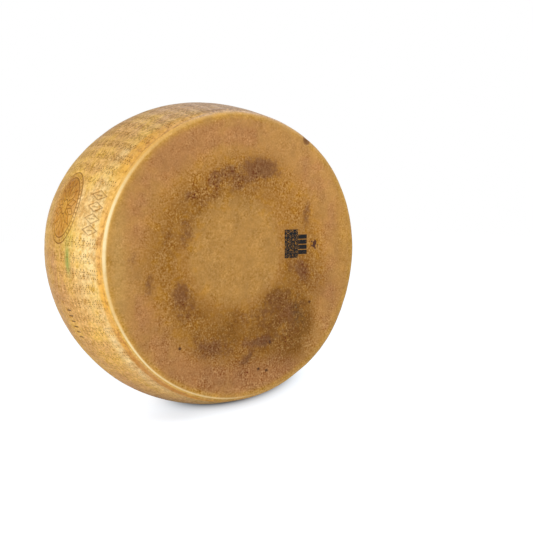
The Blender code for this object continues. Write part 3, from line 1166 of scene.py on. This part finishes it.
def rind_material(middle_height):
    material, n, shader = new_material("cheese_rind")
    place = n.add("TexCoord").outputs["Object"]
    split = n.add("SeparateXYZ", {0: place})
    x, z = split.outputs["X"], n.minus(split.outputs["Z"], middle_height)
    worn, ink_grit, pores, leather = n.clouds(place, RIND_CLOUDS)

    # The crest's worn pale line with its painted highlight is drawn here, because its line is finer than the
    # mesh
    colour = n.blend(n.zone("side"), face_colour(n, place), side_colour(n, place))
    crest = n.falling(n.maths("POWER", n.size(n.zone("off_crest")), 4.0))
    wear_and_highlight = n.times(crest, n.zone("wear_and_highlight"), n.remap(worn, 0.25, 0.5, least=0.75))
    colour = n.blend(wear_and_highlight, colour, RIM_CREAM)
    colour = n.blend(n.remap(n.zone("mark"), 0.08, 0.55, most=0.85), colour, MARK_BROWN)
    colour = n.blend(n.remap(n.zone("black"), 0.1, 0.8, most=0.92), colour, PIT_BROWN)
    colour = n.blend(n.times(rust_mark(n, place, x, z), n.zone("front")), colour, RUST_RED)
    colour = n.blend(n.times(printed_ink(n, x, z, ink_grit), n.zone("front")), colour, INK_BLACK)

    height = n.plus(n.times(pores, PORE_SHARE), leather)
    bump = n.add("Bump", {"Height": height, "Strength": BUMP_STRENGTH, "Distance": BUMP_DISTANCE})
    n.connect(shader, {"Base Color": colour, "Normal": bump.outputs["Normal"],
                       "Roughness": n.remap(leather, 0.35, 0.65, *ROUGHNESS), **RIND_GLOSS})
    return material


# The stage: a white floor, a white surround and two soft lights. A glow is given as light and as seen.
FLOOR_HALF_SIZE = 4.0
FLOOR_GAP = 0.0002
FLOOR_LOOKS = {"Base Color": (0.34, 0.36, 0.39), "Emission Color": (0.95, 0.995, 1.05),
               "Roughness": 0.8, "Specular IOR Level": 0.1}
FLOOR_GLOW = (0.45, 0.93)
CONTACT = (0.0922, 0.0622, 0.0)
CONTACT_TURN = math.radians(38.3)
CONTACT_STRETCH = 0.5
SHADOW_CORE = 0.071
SHADOW_FADE = 0.016
SHADOW_POWER = 1.3
SOFT_SHADOW = (-0.079, -0.073, 0.0)
SOFT_SHADOW_RADIUS = 0.042
SOFT_SHADOW_STRENGTH = 0.16
WHITE = (1.0, 1.0, 1.0)
SURROUND_GLOW = (0.35, 1.0)
# The lights by name: place, size across and power
LIGHTS = {"key": ((-4.0, -2.15, 0.95), 2.6, 138.0), "fill": ((0.75, -0.75, 0.95), 0.8, 4.8)}


def add_floor():
    """A white floor that shines to the eye, and a little as light on the object, but little under the
    object, so that it grounds it: a painted shadow in its glow.
    """
    mesh = bpy.data.meshes.new("floor")
    corners = [(sx * FLOOR_HALF_SIZE, sy * FLOOR_HALF_SIZE, wheel_low[2] - FLOOR_GAP)
               for sx, sy in ((-1, -1), (1, -1), (1, 1), (-1, 1))]
    mesh.from_pydata(corners, [], [(0, 1, 2, 3)])
    floor = add_object("floor", mesh)
    material, n, shader = new_material("floor")
    place = n.add("TexCoord").outputs["Object"]
    contact = {"Vector": place, "Location": CONTACT, "Rotation": (0.0, 0.0, CONTACT_TURN),
               "Scale": (1 / CONTACT_STRETCH, 1.0, 1.0)}
    turned = n.add("Mapping", contact, vector_type="TEXTURE").outputs["Vector"]
    past_core = n.maths("MAXIMUM", n.minus(n.vector("LENGTH", turned, output="Value"), SHADOW_CORE), 0.0)
    shadow = n.falling(n.maths("POWER", n.maths("DIVIDE", past_core, SHADOW_FADE), SHADOW_POWER))
    off_soft = n.vector("DISTANCE", place, SOFT_SHADOW, output="Value")
    soft = n.falling(n.maths("POWER", n.maths("DIVIDE", off_soft, SOFT_SHADOW_RADIUS), 2.0))
    glow = n.times(n.minus(1.0, shadow), n.minus(1.0, n.times(soft, SOFT_SHADOW_STRENGTH)))
    n.connect(shader, {"Emission Strength": n.times(glow, n.lit_or_seen(*FLOOR_GLOW)), **FLOOR_LOOKS})
    mesh.materials.append(material)


def add_soft_light(name, place, size, power):
    light = bpy.data.lights.new(name, "AREA")
    light.shape = "DISK"
    light.size = size
    light.energy = power
    lamp = add_object(name, light)
    lamp.location = place
    target = Vector((0.0, 0.0, BELLY_RADIUS))
    lamp.rotation_euler = (target - Vector(place)).to_track_quat("-Z", "Y").to_euler()


def add_surround():
    """White behind the object, and a softer white as light."""
    world = bpy.data.worlds.new("surround")
    world.use_nodes = True
    n = Nodes(world.node_tree)
    n.connect(n.tree.nodes["Background"], {"Strength": n.lit_or_seen(*SURROUND_GLOW), "Color": WHITE})
    bpy.context.scene.world = world


# The camera, as fitted to the photograph's outline
CAMERA_AZIMUTH = math.radians(28.27)
CAMERA_ELEVATION = math.radians(4.18)
CAMERA_ROLL = math.radians(-0.3)
CAMERA_DISTANCE = 1.1956
FOCAL_PIXELS = 812.0
PICTURE_SIZE = 533.0
MIDDLE_PIXEL = (200.15, 251.98)
SENSOR = 36.0


def add_camera(middle):
    """A camera turned so that the wheel's middle falls on its pixel."""
    data = bpy.data.cameras.new("camera")
    data.sensor_width = SENSOR
    data.lens = FOCAL_PIXELS / PICTURE_SIZE * SENSOR
    camera = add_object("camera", data)
    back = Euler((math.pi / 2 - CAMERA_ELEVATION, 0.0, -CAMERA_AZIMUTH)).to_matrix().to_4x4()
    camera.matrix_world = Matrix.Translation(middle) @ back @ Matrix.Translation((0, 0, CAMERA_DISTANCE))
    aside, above = (math.atan((pixel - PICTURE_SIZE / 2) / FOCAL_PIXELS) for pixel in MIDDLE_PIXEL)
    for turn, axis in ((aside, "Y"), (above, "X"), (CAMERA_ROLL, "Z")):
        camera.matrix_world = camera.matrix_world @ Matrix.Rotation(turn, 4, axis)
    bpy.context.scene.camera = camera


wheel, middle_height = build_wheel()
wheel.data.materials.append(rind_material(middle_height))
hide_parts("cheese_wheel")
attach(wheel, "root")

add_floor()
for light_name, light in LIGHTS.items():
    add_soft_light(light_name, *light)
add_surround()
add_camera(Vector((0.0, 0.0, middle_height)))
bpy.context.scene.view_settings.view_transform = "Standard"
